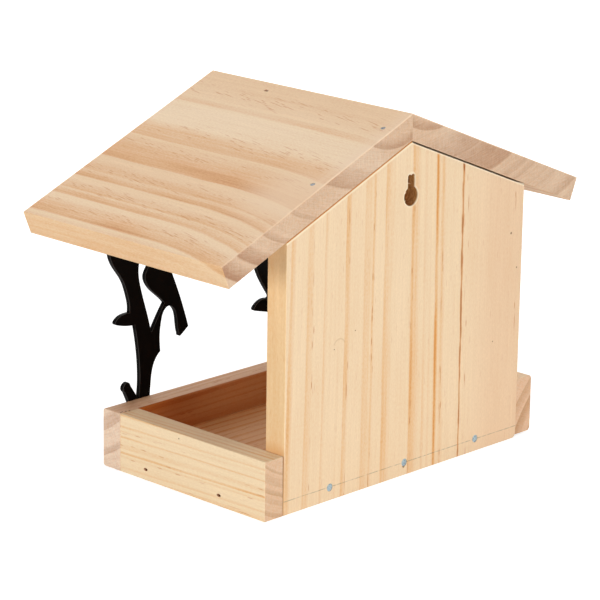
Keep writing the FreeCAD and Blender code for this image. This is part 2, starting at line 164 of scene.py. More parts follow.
class Bench:
    """Adds nodes to one material or world; each method gives back an output socket."""

    def __init__(self, owner):
        self.owner = owner
        owner.use_nodes = True
        self.tree = owner.node_tree
        self.tree.nodes.clear()

    def node(self, kind, **settings):
        added = self.tree.nodes.new(kind)
        for key, value in settings.items():
            setattr(added, key, value)
        return added

    def feed(self, socket, value):
        if isinstance(value, bpy.types.NodeSocket):
            self.tree.links.new(value, socket)
        elif value is not None:
            socket.default_value = value

    def math(self, operation, a, b=None, c=None):
        added = self.node("ShaderNodeMath", operation=operation)
        for socket, value in zip(added.inputs, (a, b, c)):
            self.feed(socket, value)
        return added.outputs[0]

    def plus(self, a, b):
        return self.math("ADD", a, b)

    def minus(self, a, b):
        return self.math("SUBTRACT", a, b)

    def times(self, first, *others):
        product = first
        for other in others:
            product = self.math("MULTIPLY", product, other)
        return product

    def hypot(self, a, b):
        return self.math("SQRT", self.math("MULTIPLY_ADD", a, a, self.times(b, b)))

    def dot(self, vector, direction, zero=0.0):
        added = self.node("ShaderNodeVectorMath", operation="DOT_PRODUCT")
        self.feed(added.inputs[0], vector)
        self.feed(added.inputs[1], direction)
        return self.plus(added.outputs["Value"], zero)

    def vector(self, x, y, z):
        added = self.node("ShaderNodeCombineXYZ")
        for socket, value in zip(added.inputs, (x, y, z)):
            self.feed(socket, value)
        return added.outputs[0]

    def object_millimetres(self):
        added = self.node("ShaderNodeVectorMath", operation="SCALE")
        self.feed(added.inputs[0], self.node("ShaderNodeTexCoord").outputs["Object"])
        added.inputs["Scale"].default_value = 1.0 / MM
        return added.outputs[0]

    def parts(self, point):
        """x, y and z of a point."""
        return [self.dot(point, axis) for axis in AXES]

    def place(self):
        """x, y and z of the shaded place on the object, in millimetres."""
        return self.parts(self.object_millimetres())

    def facing(self, direction):
        """How squarely the surface faces along a direction, from 0 to 1."""
        normal = self.node("ShaderNodeNewGeometry").outputs["Normal"]
        return self.math("ABSOLUTE", self.dot(normal, direction))

    def stretched(self, parts, lengths, seed=0.0):
        """Vector whose parts are divided by the lengths over which a pattern should vary."""
        scaled = [self.math("DIVIDE", part, length) for part, length in zip(parts, lengths)]
        scaled[0] = self.plus(scaled[0], seed)
        return self.vector(*scaled)

    def noise(self, parts, lengths, seed=0.0, detail=2.0):
        """Noise of 0 to 1 that varies over the lengths."""
        added = self.node("ShaderNodeTexNoise")
        self.feed(added.inputs["Vector"], self.stretched(parts, lengths, seed))
        added.inputs["Scale"].default_value = 1.0
        added.inputs["Detail"].default_value = detail
        return added.outputs["Fac"]

    def centred_noise(self, parts, lengths, seed=0.0, amount=1.0, detail=2.0):
        """Noise about zero, about plus or minus the amount."""
        return self.times(self.minus(self.noise(parts, lengths, seed, detail), 0.5), NOISE_GAIN * amount)

    def cells(self, vector):
        """Distance to the nearest point of a flat lattice of cells, and that cell's own random value."""
        added = self.node("ShaderNodeTexVoronoi", voronoi_dimensions="2D")
        self.feed(added.inputs["Vector"], vector)
        added.inputs["Scale"].default_value = 1.0
        return added.outputs["Distance"], self.dot(added.outputs["Color"], AXES[0])

    def span(self, value, low, high, to_low=0.0, to_high=1.0, smooth=True):
        added = self.node("ShaderNodeMapRange", interpolation_type="SMOOTHSTEP" if smooth else "LINEAR")
        for socket, item in zip(added.inputs, (value, low, high, to_low, to_high)):
            self.feed(socket, item)
        return added.outputs[0]

    def fall(self, value, low, high, top=1.0):
        """Smooth fall from the top to 0 while the value goes from low to high."""
        return self.span(value, low, high, top, 0.0)

    def ramp(self, value, stops):
        """Ramp through stops of (position, grey or colour)."""
        added = self.node("ShaderNodeValToRGB")
        elements = added.color_ramp.elements
        elements.remove(elements[1])
        for i, (position, colour) in enumerate(stops):
            element = elements[0] if i == 0 else elements.new(position)
            element.position = position
            element.color = (*colour, 1.0) if isinstance(colour, tuple) else (colour, colour, colour, 1.0)
        self.feed(added.inputs[0], value)
        return added.outputs[0]

    def mix(self, share, a, b, blend="MIX"):
        added = self.node("ShaderNodeMix", data_type="RGBA", blend_type=blend)
        self.feed(added.inputs[0], share)
        for socket, value in zip(added.inputs[6:8], (a, b)):
            self.feed(socket, (*value, 1.0) if isinstance(value, tuple) else value)
        return added.outputs[2]

    def bump(self, height, distance, strength):
        added = self.node("ShaderNodeBump")
        self.feed(added.inputs["Height"], height)
        added.inputs["Distance"].default_value = distance
        added.inputs["Strength"].default_value = strength
        return added.outputs[0]

    def finish(self, colour, roughness, normal=None, metallic=0.0, specular=0.5):
        shader = self.node("ShaderNodeBsdfPrincipled")
        self.feed(shader.inputs["Base Color"], (*colour, 1.0) if isinstance(colour, tuple) else colour)
        self.feed(shader.inputs["Roughness"], roughness)
        self.feed(shader.inputs["Normal"], normal)
        shader.inputs["Metallic"].default_value = metallic
        shader.inputs["Specular IOR Level"].default_value = specular
        self.feed(self.node("ShaderNodeOutputMaterial").inputs[0], shader.outputs[0])
        return self.owner


# Figure of one board. palette is cream or rose. across, depth and grain are unit directions, each with the
# value to add, so that across * point + zero is a place on the board in millimetres. pith is the ring centre
# as (across, depth). rings are (where a ring ends on the plane at face, width of its dark part, strength,
# fullness of that part). blush is (place across, amount) of a tint, canals are (place, half width) where
# resin dashes gather, and dashes is their strength. edge is how fast a ring's dark part stops, lean and fan
# tilt and spread the rings along the grain, bend is (start, gain) of their sweep near the board's end, cup is
# how much their curve tightens with depth, slant is how far the fibres lean from them, edge_share is how much
# of them the narrow edges show, and edge_tint is a tint of these edges, which on the front board
# is painted shade on its top under the roof. wander is how far the rings stray, and seed moves all of the
# board's noise. ends are the rings as a sawn end shows them where that differs from the face, end_base is
# the tone between them, and arc is (across, depth, radius, width, strength) of a ring about a nearer centre.
Figure = namedtuple(
    "Figure",
    "palette across depth grain pith face rings blush canals "
    "dashes edge lean fan bend cup slant edge_share edge_tint wander seed ends end_base arc",
    defaults=(0.6, 0.4, 0.0, 0.0, (999.0, 0.0), 0.0, 0.0, 1.0, None, 0.8, 0.0, None, 0.16, None),
)

# A ramp holds at most 32 stops, so rings and canals are dealt out over several, each of which starts below
# the smallest radius and ends above the largest
RINGS_PER_RAMP = 7
RAMP_BELOW = 30.0
RAMP_ABOVE = 5.0


def face_radius(figure, place):
    """Distance from the pith to a place on the board's main face."""
    return math.hypot(place - figure.pith[0], figure.face - figure.pith[1])


def ring_stops(figure, rings):
    """Ramp stops of growth rings: dark rises to a shoulder, then to the ring's end, and drops at once."""
    stops = []
    for end, width, strength, fullness in rings:
        outer = face_radius(figure, end)
        inner = face_radius(figure, end - math.copysign(width, end - figure.pith[0]))
        stops += [(inner, 0.0), (inner + 0.3 * (outer - inner), fullness * strength)]
        stops += [(outer, strength), (outer + figure.edge, 0.0)]
    return stops


def canal_stops(figure, canals):
    """Ramp stops of the bands in which resin dashes gather; one over the pith has both sides outside it."""
    stops = []
    for place, half in canals:
        middle = face_radius(figure, place)
        sides = sorted((face_radius(figure, place - half), face_radius(figure, place + half)))
        stops += [(min(sides[0], middle - 0.1), 0.0), (middle, 1.0), (sides[1], 0.0)]
    return stops


def dealt_ramps(bench, figure, radius, items, stops_of):
    """Largest of several ramps over the radius, with neighbouring items in different ramps."""
    reach = [face_radius(figure, item[0]) for item in items]
    low = min(reach) - RAMP_BELOW
    high = max(reach) + RAMP_ABOVE
    place = bench.span(radius, low, high, smooth=False)
    groups = max(2, math.ceil(len(items) / RINGS_PER_RAMP))
    found = None
    for first in range(groups):
        stops = sorted([(low, 0.0)] + stops_of(figure, items[first::groups]))
        amount = bench.ramp(place, [((at - low) / (high - low), value) for at, value in stops])
        found = amount if found is None else bench.math("MAXIMUM", found, amount)
    return found


def board_place(bench, figure, point):
    """Place across a board, in its depth and along its grain, in millimetres."""
    return [bench.dot(point, *line) for line in (figure.across, figure.depth, figure.grain)]


def ring_radius(bench, figure, place):
    """Distance to the pith line, which leans, fans out, sweeps and wanders along the grain."""
    v, w, u = place
    slow = bench.centred_noise(place, (60.0, 60.0, 140.0), figure.seed, figure.wander, 1.0)
    quick = bench.centred_noise(place, (4.0, 4.0, 26.0), figure.seed + 5.0, 0.34, 3.0)
    start, gain = figure.bend
    past = bench.math("MAXIMUM", bench.minus(u, start), 0.0)
    sweep = bench.times(past, past, -gain)
    spread = bench.math("MULTIPLY_ADD", u, figure.fan, sweep)
    bent = bench.math("MULTIPLY_ADD", v, spread, v)
    leaning = bench.math("MULTIPLY_ADD", u, figure.lean, bent)
    moved = bench.plus(bench.plus(leaning, slow), quick)
    if figure.cup:
        moved = bench.math("MULTIPLY_ADD", bench.times(w, w), figure.cup, moved)
    return bench.hypot(bench.minus(moved, figure.pith[0]), bench.minus(w, figure.pith[1]))


def near_arc(bench, arc, v, w):
    """Dark rim of the innermost ring on a sawn end, which curves about a nearer centre than the others."""
    across, depth, radius, width, strength = arc
    far = bench.hypot(bench.minus(v, across), bench.minus(w, depth))
    dark = bench.span(far, radius - width, radius, 0.0, strength)
    return bench.times(dark, bench.fall(far, radius, radius + 0.7))


def resin_dashes(bench, cross, u, gathered, seed):
    """Short thin canals along the grain, held by few cells of a long lattice, and by more where gathered."""
    found = None
    for length, share, shift in ((7.5, 0.93, 0.0), (16.0, 0.95, 7.3)):
        place = bench.stretched((cross, u, 0.0), (1.0, length, 1.0), seed + shift)
        distance, value = bench.cells(place)
        chance = bench.math("MULTIPLY_ADD", gathered, 0.3, value)
        held = bench.span(chance, share, share + 0.2)
        dash = bench.times(bench.fall(distance, 0.12, 0.36), held)
        found = dash if found is None else bench.math("MAXIMUM", found, dash)
    return found


def sawn_end(bench, place, seed):
    """Crossing saw marks and open pores of a sawn end, about zero."""
    v, w, u = place
    marks = []
    for turn in (-0.39, 0.99):
        along = bench.math("MULTIPLY_ADD", v, math.cos(turn), bench.times(w, math.sin(turn)))
        over = bench.math("MULTIPLY_ADD", w, math.cos(turn), bench.times(v, -math.sin(turn)))
        marks.append(bench.centred_noise((along, over, u), (0.5, 7.0, 4.0), seed))
    pores = bench.centred_noise(place, (0.45, 0.45, 5.0), seed)
    return bench.plus(bench.plus(marks[0], marks[1]), pores)


def weighted(bench, start, *terms):
    """start plus each term's value times its weight."""
    total = start
    for value, weight in terms:
        total = bench.math("MULTIPLY_ADD", value, weight, total)
    return total


def blush_amount(bench, figure, v):
    """How far the tint of the redder side of a board is taken, by the place across it."""
    low = figure.blush[0][0]
    high = figure.blush[-1][0]
    place = bench.span(v, low, high, smooth=False)
    return bench.ramp(place, [((at - low) / (high - low), amount) for at, amount in figure.blush])


def pine(name, look, figure, marks):
    """Planed pine with rings, fibres, resin dashes and sawn ends, over which marks paints."""
    def shade_of(part):
        return tuple(getattr(look, figure.palette + part))

    bench = Bench(bpy.data.materials.new(name))
    seed = figure.seed
    point = bench.object_millimetres()
    place = board_place(bench, figure, point)
    v, w, u = place
    on_end = bench.span(bench.facing(figure.grain[0]), 0.6, 0.9)
    on_edge = bench.span(bench.facing(figure.across[0]), 0.55, 0.75)
    slanted = bench.math("MULTIPLY_ADD", u, -figure.slant, v)
    cross = bench.math("MULTIPLY_ADD", on_edge, bench.minus(w, slanted), slanted)
    radius = ring_radius(bench, figure, place)
    patch = bench.noise(place, (9.0, 9.0, 60.0), seed + 13.0, 1.0)
    tone = bench.times(
        dealt_ramps(bench, figure, radius, figure.rings, ring_stops),
        bench.span(patch, 0.3, 0.7, 0.75, 1.25),
        bench.span(on_edge, 0.0, 1.0, 1.0, figure.edge_share),
    )

    lines = bench.centred_noise((radius, w, u), (0.85, 30.0, 130.0), seed, detail=3.0)
    fibre = bench.centred_noise((slanted, w, u), (0.55, 0.55, 20.0), seed, detail=3.0)
    speck = bench.centred_noise((slanted, w, u), (0.7, 0.7, 1.6), seed)
    cloud = bench.centred_noise(place, (16.0, 16.0, 55.0), seed + 3.0)
    streak = bench.centred_noise(place, (1.5, 1.5, 34.0), seed + 9.0, detail=3.0)
    drawn = bench.times(lines, bench.math("MULTIPLY_ADD", tone, 0.25, 0.1))
    shade = weighted(
        bench, 0.15, (tone, 0.93), (drawn, 1.0), (streak, 0.1), (fibre, 0.08), (speck, 0.2), (cloud, 0.09)
    )
    lightest = tuple(min(1.0, 1.06 * part) for part in shade_of("_pale"))
    face = bench.ramp(
        shade,
        [(0.0, lightest), (0.15, shade_of("_pale")), (0.58, shade_of("_late")), (1.0, shade_of("_honey"))],
    )
    redder = blush_amount(bench, figure, v)
    face = bench.mix(redder, face, shade_of("_blush"), "MULTIPLY")
    gathered = dealt_ramps(bench, figure, radius, figure.canals, canal_stops)
    dashes = resin_dashes(bench, cross, u, gathered, seed)
    face = bench.mix(bench.times(dashes, figure.dashes), face, tuple(look.dash))
    # On the front board this edge tint is painted shade on its top, under the roof.
    if figure.edge_tint:
        face = bench.mix(on_edge, face, figure.edge_tint, "MULTIPLY")

    saw = sawn_end(bench, place, seed)
    if figure.ends:
        end_tone = dealt_ramps(bench, figure, radius, figure.ends, ring_stops)
    else:
        end_tone = bench.times(bench.math("POWER", tone, 1.6), 2.2)
    if figure.arc:
        end_tone = bench.math("MAXIMUM", end_tone, near_arc(bench, figure.arc, v, w))
    end_shade = weighted(bench, figure.end_base, (end_tone, 1.0), (saw, 0.18), (lines, 0.12), (cloud, 0.1))
    end = bench.ramp(end_shade, [(0.0, shade_of("_end")), (1.0, shade_of("_end_late"))])
    end = bench.mix(bench.times(redder, 0.7), end, shade_of("_blush"), "MULTIPLY")
    mottle = bench.noise(place, (1.3, 1.3, 5.0), seed + 21.0, 3.0)
    end = bench.mix(bench.span(mottle, 0.4, 0.68, 0.0, 0.6), end, srgb(255, 240, 228), "MULTIPLY")
    colour = marks(bench, point, bench.mix(on_end, face, end))

    raised = weighted(bench, bench.times(fibre, 0.5), (dashes, -0.15), (speck, 0.4))
    height = weighted(bench, raised, (bench.times(saw, on_end), 0.5))
    roughness = bench.span(shade, 0.0, 1.0, 0.62, 0.46, smooth=False)
    return bench.finish(colour, roughness, bench.bump(height, 0.06 * MM, 0.6), specular=0.1)


def give_material(mesh, material):
    """Makes a material the mesh's only one."""
    mesh.materials.clear()
    mesh.materials.append(material)


def dress(node, material):
    """Gives a CAD node its material."""
    give_material(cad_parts[node].data, material)


# Small dark spots as (first place, second place, radius): on the panel in x and z, on the right side in y and
# z, and in x and y on the top of the tray's corner, where the saw tore the edge
PANEL_DOTS = (
    (-73.6, -31.0, 0.8), (-78.6, -49.1, 0.6), (-62.3, -83.6, 0.5), (0.1, -132.6, 0.8),
    (50.2, -64.2, 0.4), (36.2, -57.9, 0.42),
)
SIDE_DOTS = ((-56.8, -111.1, 0.5),)
CORNER_CHIPS = ((93.2, -98.2, 0.7), (91.9, -98.6, 0.6), (90.2, -98.1, 0.7), (88.3, -97.6, 0.6))
# Stains round the brads, as the spots are, but wider than high
BRAD_STAINS = ((-30.0, -132.1, 1.5), (-79.5, -132.1, 1.5))
STAIN_SQUEEZE = 1.8
# Pencil line on the panel: its height in the middle, and how much it climbs for each millimetre of x
PENCIL_HEIGHT = BASE + 6.5
PENCIL_CLIMB = 0.004
# Split in the panel: its x at the keyhole, and how much it leans for each millimetre of z
SPLIT_PLACE = -37.3
SPLIT_LEAN = 0.011
# Scratch on the panel: the upper half of a circle about (x, z), with its radius
CURL = (46.8, -63.6, 3.85)
# Pale patch on a roof board: places down the slope and along the grain, and radius
PALE_PATCH = (78.0, -12.0, 36.0)


def spots(bench, first, second, places, mask, colour, tone, core=0.4, strength=0.8):
    """Paints small soft round spots where the mask lets them."""
    for a, b, size in places:
        far = bench.hypot(bench.minus(first, a), bench.minus(second, b))
        spot = bench.times(bench.fall(far, core * size, size, strength), mask)
        colour = bench.mix(spot, colour, tone)
    return colour


def pencil_line(bench, place, on_back, colour):
    """Broken pencil line through the nails."""
    x, _, z = place
    line = bench.math("MULTIPLY_ADD", x, PENCIL_CLIMB, PENCIL_HEIGHT)
    wobble = bench.centred_noise(place, (9.0, 9.0, 9.0), amount=0.12)
    off_line = bench.math("ABSOLUTE", bench.minus(bench.plus(z, wobble), line))
    broken = bench.span(bench.noise(place, (2.2, 2.2, 2.2), detail=3.0), 0.36, 0.62, 0.12, 0.6)
    pencil = bench.times(bench.fall(off_line, 0.06, 0.3), broken, on_back)
    return bench.mix(pencil, colour, srgb(138, 120, 102))


def panel_split(bench, place, colour):
    """Split along the grain, wider towards its top, with a darker core where it is open."""
    x, _, z = place
    path = bench.math("MULTIPLY_ADD", z, SPLIT_LEAN, SPLIT_PLACE)
    stray = bench.centred_noise(place, (30.0, 30.0, 16.0), 2.0, 0.3)
    off_split = bench.math("ABSOLUTE", bench.minus(bench.plus(x, stray), path))
    torn = bench.noise(place, (3.0, 3.0, 11.0), 4.0, 3.0)
    widening = bench.span(z, -130.0, 8.0, 0.6, 0.85)
    half_width = bench.times(widening, bench.span(torn, 0.35, 0.65, 0.75, 1.4))
    reach = bench.math("DIVIDE", off_split, half_width)
    colour = bench.mix(bench.fall(reach, 0.45, 1.15, 0.85), colour, srgb(210, 144, 80))
    open_part = bench.times(bench.span(torn, 0.42, 0.6), bench.span(z, -12.0, 4.0, 0.45, 0.9))
    core = bench.times(bench.fall(reach, 0.2, 0.7), open_part)
    return bench.mix(core, colour, srgb(154, 72, 20))


def panel_scratch(bench, place, on_back, colour):
    """Faint curled scratch."""
    x, _, z = place
    middle, level, radius = CURL
    far = bench.hypot(bench.minus(x, middle), bench.minus(z, level))
    off_curl = bench.math("ABSOLUTE", bench.minus(far, radius))
    upper = bench.times(bench.span(z, level + 1.0, level + 2.0), on_back)
    curl = bench.times(bench.fall(off_curl, 0.1, 0.6, 0.36), upper)
    return bench.mix(curl, colour, srgb(206, 168, 122))


def roof_joints(bench, place, on_back, colour):
    """Painted highlight on the arris and painted shade in the joint under each roof board; the left joint is
    the darker, and fades near its eave.
    """
    x, _, z = place
    level = bench.math("MULTIPLY_ADD", z, -math.cos(SLOPE), PANEL_APEX * math.cos(SLOPE))
    under_roof = bench.math("MULTIPLY_ADD", bench.math("ABSOLUTE", x), -math.sin(SLOPE), level)
    # Painted highlight: a pale line along the panel's arris just under the roof.
    arris = bench.times(bench.fall(under_roof, 0.9, 1.8, 0.65), on_back)
    colour = bench.mix(arris, colour, srgb(255, 240, 212))
    # Painted shade in the joint, darkest under the left board and orange-brown under the right.
    joint_shade = bench.mix(bench.span(x, -2.0, 2.0), srgb(76, 22, 8), srgb(206, 132, 44))
    closed_by = bench.plus(bench.span(x, -2.0, 2.0, -0.06, 0.35), under_roof)
    fading = bench.span(x, -81.0, -68.0, 0.4)
    closed = bench.times(bench.fall(closed_by, 0.6, 0.95, 0.95), fading)
    return bench.mix(closed, colour, joint_shade)


def keyhole_distance(bench, x, z):
    """How far a place on the panel lies outside the keyhole: the round entry joined with its upright slot."""
    nearest = bench.math("MINIMUM", bench.math("MAXIMUM", z, 0.0), KEYHOLE_RISE)
    entry = bench.minus(bench.hypot(x, z), KEYHOLE_ENTRY)
    slot = bench.minus(bench.hypot(x, bench.minus(z, nearest)), KEYHOLE_SLOT)
    return bench.math("MINIMUM", entry, slot)


def routed_keyhole(bench, place, on_back, colour):
    """Pale burr round the keyhole, and scorched wood inside it."""
    x, y, z = place
    away = keyhole_distance(bench, x, z)
    burr = bench.times(bench.fall(away, 0.3, 1.0, 0.7), on_back)
    colour = bench.mix(burr, colour, srgb(252, 234, 204))
    inside = bench.times(
        bench.fall(y, -0.9, -0.4),
        bench.span(y, -10.5, -9.5),
        bench.fall(away, 4.0, 5.0),
        0.9,
    )
    routed = bench.noise(place, (1.1, 1.1, 2.4), 6.0, 3.0)
    scorched = bench.mix(bench.span(routed, 0.35, 0.7), srgb(153, 94, 40), srgb(198, 140, 80))
    return bench.mix(inside, colour, scorched)


def panel_marks(bench, point, colour):
    """Pencil, split, spots, scratch and keyhole on the back panel, and painted shade and highlight at its
    joints.
    """
    place = bench.parts(point)
    x, y, z = place
    on_back = bench.span(y, -0.35, -0.2)
    colour = pencil_line(bench, place, on_back, colour)
    colour = panel_split(bench, place, colour)
    colour = spots(bench, x, z, PANEL_DOTS, on_back, colour, srgb(120, 74, 44))
    colour = panel_scratch(bench, place, on_back, colour)
    colour = roof_joints(bench, place, on_back, colour)
    # Painted shade where the panel's right edge meets the side board's top, fading upwards over 7 mm.
    on_right_edge = bench.span(x, PANEL_HALF - 0.3, PANEL_HALF - 0.1)
    foot_shade = bench.times(on_right_edge, bench.fall(z, TRAY_TOP, TRAY_TOP + 7.0, 0.6))
    colour = bench.mix(foot_shade, colour, srgb(214, 160, 104))
    return routed_keyhole(bench, place, on_back, colour)


def tray_shade_and_stains(tint, wash=None):
    """Marks that paint shade on the inside of a tray board, wash it over, darken its joint and stain its
    brads.
    """
    def marks(bench, point, colour):
        x, y, z = bench.parts(point)
        x = bench.math("ABSOLUTE", x)
        # Painted shade inside the tray: the tint darkens and reddens the inner faces, fully near the side
        # boards and just below the top, less in the middle.
        inside = bench.times(
            bench.fall(x, INNER_SIDE + 0.2, INNER_SIDE + 0.5),
            bench.span(y, INNER_FRONT - 0.5, INNER_FRONT - 0.2),
            bench.span(z, FLOOR_TOP - 0.5, FLOOR_TOP - 0.2),
            bench.span(x, 20.0, 78.0, 0.75, 1.0),
            bench.span(z, TRAY_TOP - 7.0, TRAY_TOP - 2.0, 0.93, 1.0),
        )
        colour = bench.mix(inside, colour, tint, "MULTIPLY")
        if wash:
            colour = bench.mix(1.0, colour, wash, "MULTIPLY")
        joint = bench.times(
            bench.fall(x, INNER_SIDE + 0.3, INNER_SIDE + 0.9),
            bench.span(y, -1.4, -1.1),
            bench.span(z, BASE, TRAY_TOP, 0.25, 0.75),
        )
        colour = bench.mix(joint, colour, srgb(128, 66, 30))
        on_side = bench.span(x, OUTER_SIDE - 0.3, OUTER_SIDE - 0.1)
        colour = spots(bench, y, z, SIDE_DOTS, on_side, colour, srgb(110, 66, 38))
        squeezed = bench.times(z, STAIN_SQUEEZE)
        stains = [(a, b * STAIN_SQUEEZE, size) for a, b, size in BRAD_STAINS]
        at_brads = bench.span(x, 87.0, 88.0)
        colour = spots(bench, y, squeezed, stains, at_brads, colour, srgb(152, 70, 18), 0.65, 1.0)
        on_top = bench.span(z, TRAY_TOP - 0.3, TRAY_TOP - 0.1)
        return spots(bench, x, y, CORNER_CHIPS, on_top, colour, srgb(104, 66, 44))
    return marks


ACROSS_X, ACROSS_Y, ACROSS_Z = ((axis, 0.0) for axis in AXES)
UP_FROM_MIDDLE = (AXES[2], 68.0)

PANEL_FIGURE = Figure(
    "cream", ACROSS_X, ACROSS_Y, UP_FROM_MIDDLE, pith=(-60.0, -60.0), face=0.0,
    rings=(
        (80.4, 3.4, 0.46, 0.6), (69.0, 4.4, 0.31, 0.75), (57.6, 1.8, 0.28, 0.4), (48.2, 1.2, 0.12, 0.5),
        (43.6, 3.2, 0.42, 0.7), (31.0, 5.2, 0.34, 0.7), (25.4, 1.6, 0.4, 0.6), (17.0, 6.5, 0.46, 0.3),
        (-1.8, 6.5, 0.66, 0.3), (-11.0, 1.8, 0.22, 0.5), (-14.8, 1.4, 0.16, 0.5), (-19.2, 2.2, 0.92, 0.7),
        (-23.2, 2.6, 0.36, 0.6),
    ),
    blush=((-82.5, 0.95), (-62.0, 0.95), (-44.0, 0.2), (-32.0, 0.0), (82.5, 0.0)),
    canals=((64.5, 0.9), (41.6, 1.0), (25.0, 0.9), (-2.6, 1.2), (-24.0, 1.0), (-42.4, 1.2), (-60.0, 1.6)),
    dashes=0.8, lean=-0.008, fan=0.00039, edge_share=0.25, edge_tint=srgb(245, 235, 216),
    wander=0.5, seed=3.0,
)


def roof_figure(side, rings, ends, arc, canals, seed):
    """Rings about a pith above a roof board and beyond the ridge; the grain runs from front to back."""
    down = (side * math.cos(SLOPE), 0.0, -math.sin(SLOPE))
    under = (-side * math.sin(SLOPE), 0.0, -math.cos(SLOPE))
    return Figure(
        "rose", (down, RIDGE * math.sin(SLOPE)), (under, RIDGE * math.cos(SLOPE)), ACROSS_Y,
        pith=(-52.0, -88.0), face=0.0, rings=rings, ends=ends, end_base=0.3, arc=arc, cup=0.02,
        blush=(
            (0.0, 0.65), (10.0, 0.6), (21.0, 0.45), (28.0, 0.0), (45.0, 0.0), (62.0, 0.5), (80.0, 0.55),
            (100.0, 0.45), (116.0, 0.2), (133.5, 0.3),
        ),
        canals=canals, dashes=0.45, edge=0.8, bend=(-50.0, 2.5e-5), slant=0.18, edge_share=0.8,
        edge_tint=srgb(245, 241, 232), wander=1.0, seed=seed,
    )


def roof_marks(figure):
    """Marks that pale a roof board near its rear: broad patch, sawn end, rubbed strip and a painted arris
    highlight.
    """
    def marks(bench, point, colour):
        place = board_place(bench, figure, point)
        v, w, u = place
        on_top = bench.fall(w, 0.2, 0.5)
        down, along, radius = PALE_PATCH
        far = bench.hypot(bench.minus(v, down), bench.minus(u, along))
        patch = bench.times(bench.fall(far, 0.1 * radius, radius, 0.65), on_top)
        colour = bench.mix(patch, colour, srgb(245, 216, 184))
        on_rear = bench.span(u, -0.3, -0.1)
        colour = bench.mix(on_rear, colour, srgb(254, 252, 246), "MULTIPLY")
        streaks = bench.noise(place, (26.0, 26.0, 0.9), 5.0, 3.0)
        upper = bench.span(v, 58.0, 78.0, 1.0, 0.2)
        rubbed = bench.times(
            bench.span(u, -11.0, -1.0), on_top, upper, bench.span(streaks, 0.3, 0.65, 0.15, 0.65)
        )
        colour = bench.mix(rubbed, colour, srgb(244, 214, 184))
        # Painted highlight along the rear top arris.
        arris = bench.times(
            bench.fall(w, 0.35, 0.6),
            bench.span(u, -0.6, -0.35),
            bench.math("MULTIPLY_ADD", upper, 0.3, 0.15),
        )
        return bench.mix(arris, colour, srgb(252, 224, 194))
    return marks


ROOF_RIGHT_FIGURE = roof_figure(
    1,
    rings=(
        (12.0, 1.4, 0.1, 0.5), (27.3, 4.2, 0.28, 0.7), (54.8, 8.0, 0.34, 0.5), (58.8, 13.0, 0.44, 0.5),
        (72.8, 12.0, 0.3, 0.6), (79.6, 19.8, 0.62, 0.35), (92.5, 9.0, 0.36, 0.35), (97.9, 5.0, 0.6, 0.4),
        (104.8, 2.5, 0.22, 0.6), (108.4, 6.0, 0.4, 0.4), (113.6, 5.0, 0.56, 0.4), (128.0, 11.0, 0.58, 0.4),
        (141.5, 12.0, 0.28, 0.9),
    ),
    ends=(
        (58.2, 16.0, 0.42, 0.4), (81.5, 3.0, 0.24, 0.4), (99.0, 4.0, 0.36, 0.4), (115.2, 9.0, 0.62, 0.5),
        (127.6, 11.0, 0.75, 0.4),
    ),
    arc=(5.0, -20.7, 31.7, 6.0, 0.46),
    canals=((15.0, 8.0), (49.0, 8.0), (66.0, 6.0), (90.0, 7.0), (106.0, 6.0), (121.0, 5.0)),
    seed=11.0,
)
ROOF_LEFT_FIGURE = roof_figure(
    -1,
    rings=(
        (22.0, 5.0, 0.3, 0.6), (49.5, 12.0, 0.4, 0.4), (62.0, 10.0, 0.3, 0.5), (71.7, 18.0, 0.58, 0.5),
        (84.3, 5.0, 0.22, 0.4), (90.7, 9.0, 0.5, 0.4), (101.6, 5.0, 0.26, 0.5), (107.1, 6.0, 0.4, 0.4),
        (120.9, 9.0, 0.6, 0.4), (134.0, 8.0, 0.5, 0.4),
    ),
    ends=(
        (49.5, 22.0, 0.42, 0.6), (73.0, 30.0, 0.48, 0.8), (85.3, 5.0, 0.22, 0.5), (91.6, 4.0, 0.26, 0.4),
        (101.6, 3.0, 0.08, 0.4), (107.6, 4.0, 0.12, 0.4), (122.6, 7.0, 0.32, 0.4), (134.0, 8.0, 0.3, 0.4),
    ),
    arc=(4.0, -31.5, 37.2, 6.0, 0.44),
    canals=((10.0, 6.0), (34.0, 8.0), (58.0, 6.0), (84.0, 6.0), (102.0, 5.0), (121.0, 5.0)),
    seed=17.0,
)

NO_BLUSH = ((-1000.0, 0.0), (1000.0, 0.0))


def below_top(rows):
    """Rings or canals of a side board, from depths below the tray's top."""
    return tuple((TRAY_TOP - depth, *rest) for depth, *rest in rows)


SIDE_RIGHT_FIGURE = Figure(
    "cream", ACROSS_Z, ACROSS_X, ACROSS_Y, pith=(-62.0, 60.0), face=OUTER_SIDE,
    rings=below_top((
        (-6.0, 0.8, 0.5, 0.5), (-4.0, 0.8, 0.62, 0.5), (-1.4, 0.8, 0.5, 0.5), (4.2, 1.0, 0.34, 0.5),
        (6.4, 0.8, 0.2, 0.5), (9.4, 0.8, 0.46, 0.5), (14.6, 2.4, 0.28, 0.7), (17.4, 1.1, 0.8, 0.6),
        (19.2, 1.2, 0.24, 0.5), (24.6, 1.2, 0.32, 0.5), (28.4, 2.0, 0.34, 0.6),
    )),
    blush=NO_BLUSH,
    canals=below_top(((7.0, 0.8), (13.5, 1.2), (17.0, 0.6), (19.5, 1.0), (27.5, 1.2))),
    dashes=0.5, lean=-0.024, wander=0.5, seed=23.0,
    ends=below_top((
        (2.6, 1.6, 0.5, 0.4), (9.4, 5.0, 0.26, 0.8), (14.4, 2.6, 0.5, 0.6), (19.0, 3.0, 0.22, 0.8),
        (25.4, 2.6, 0.5, 0.6),
    )),
)
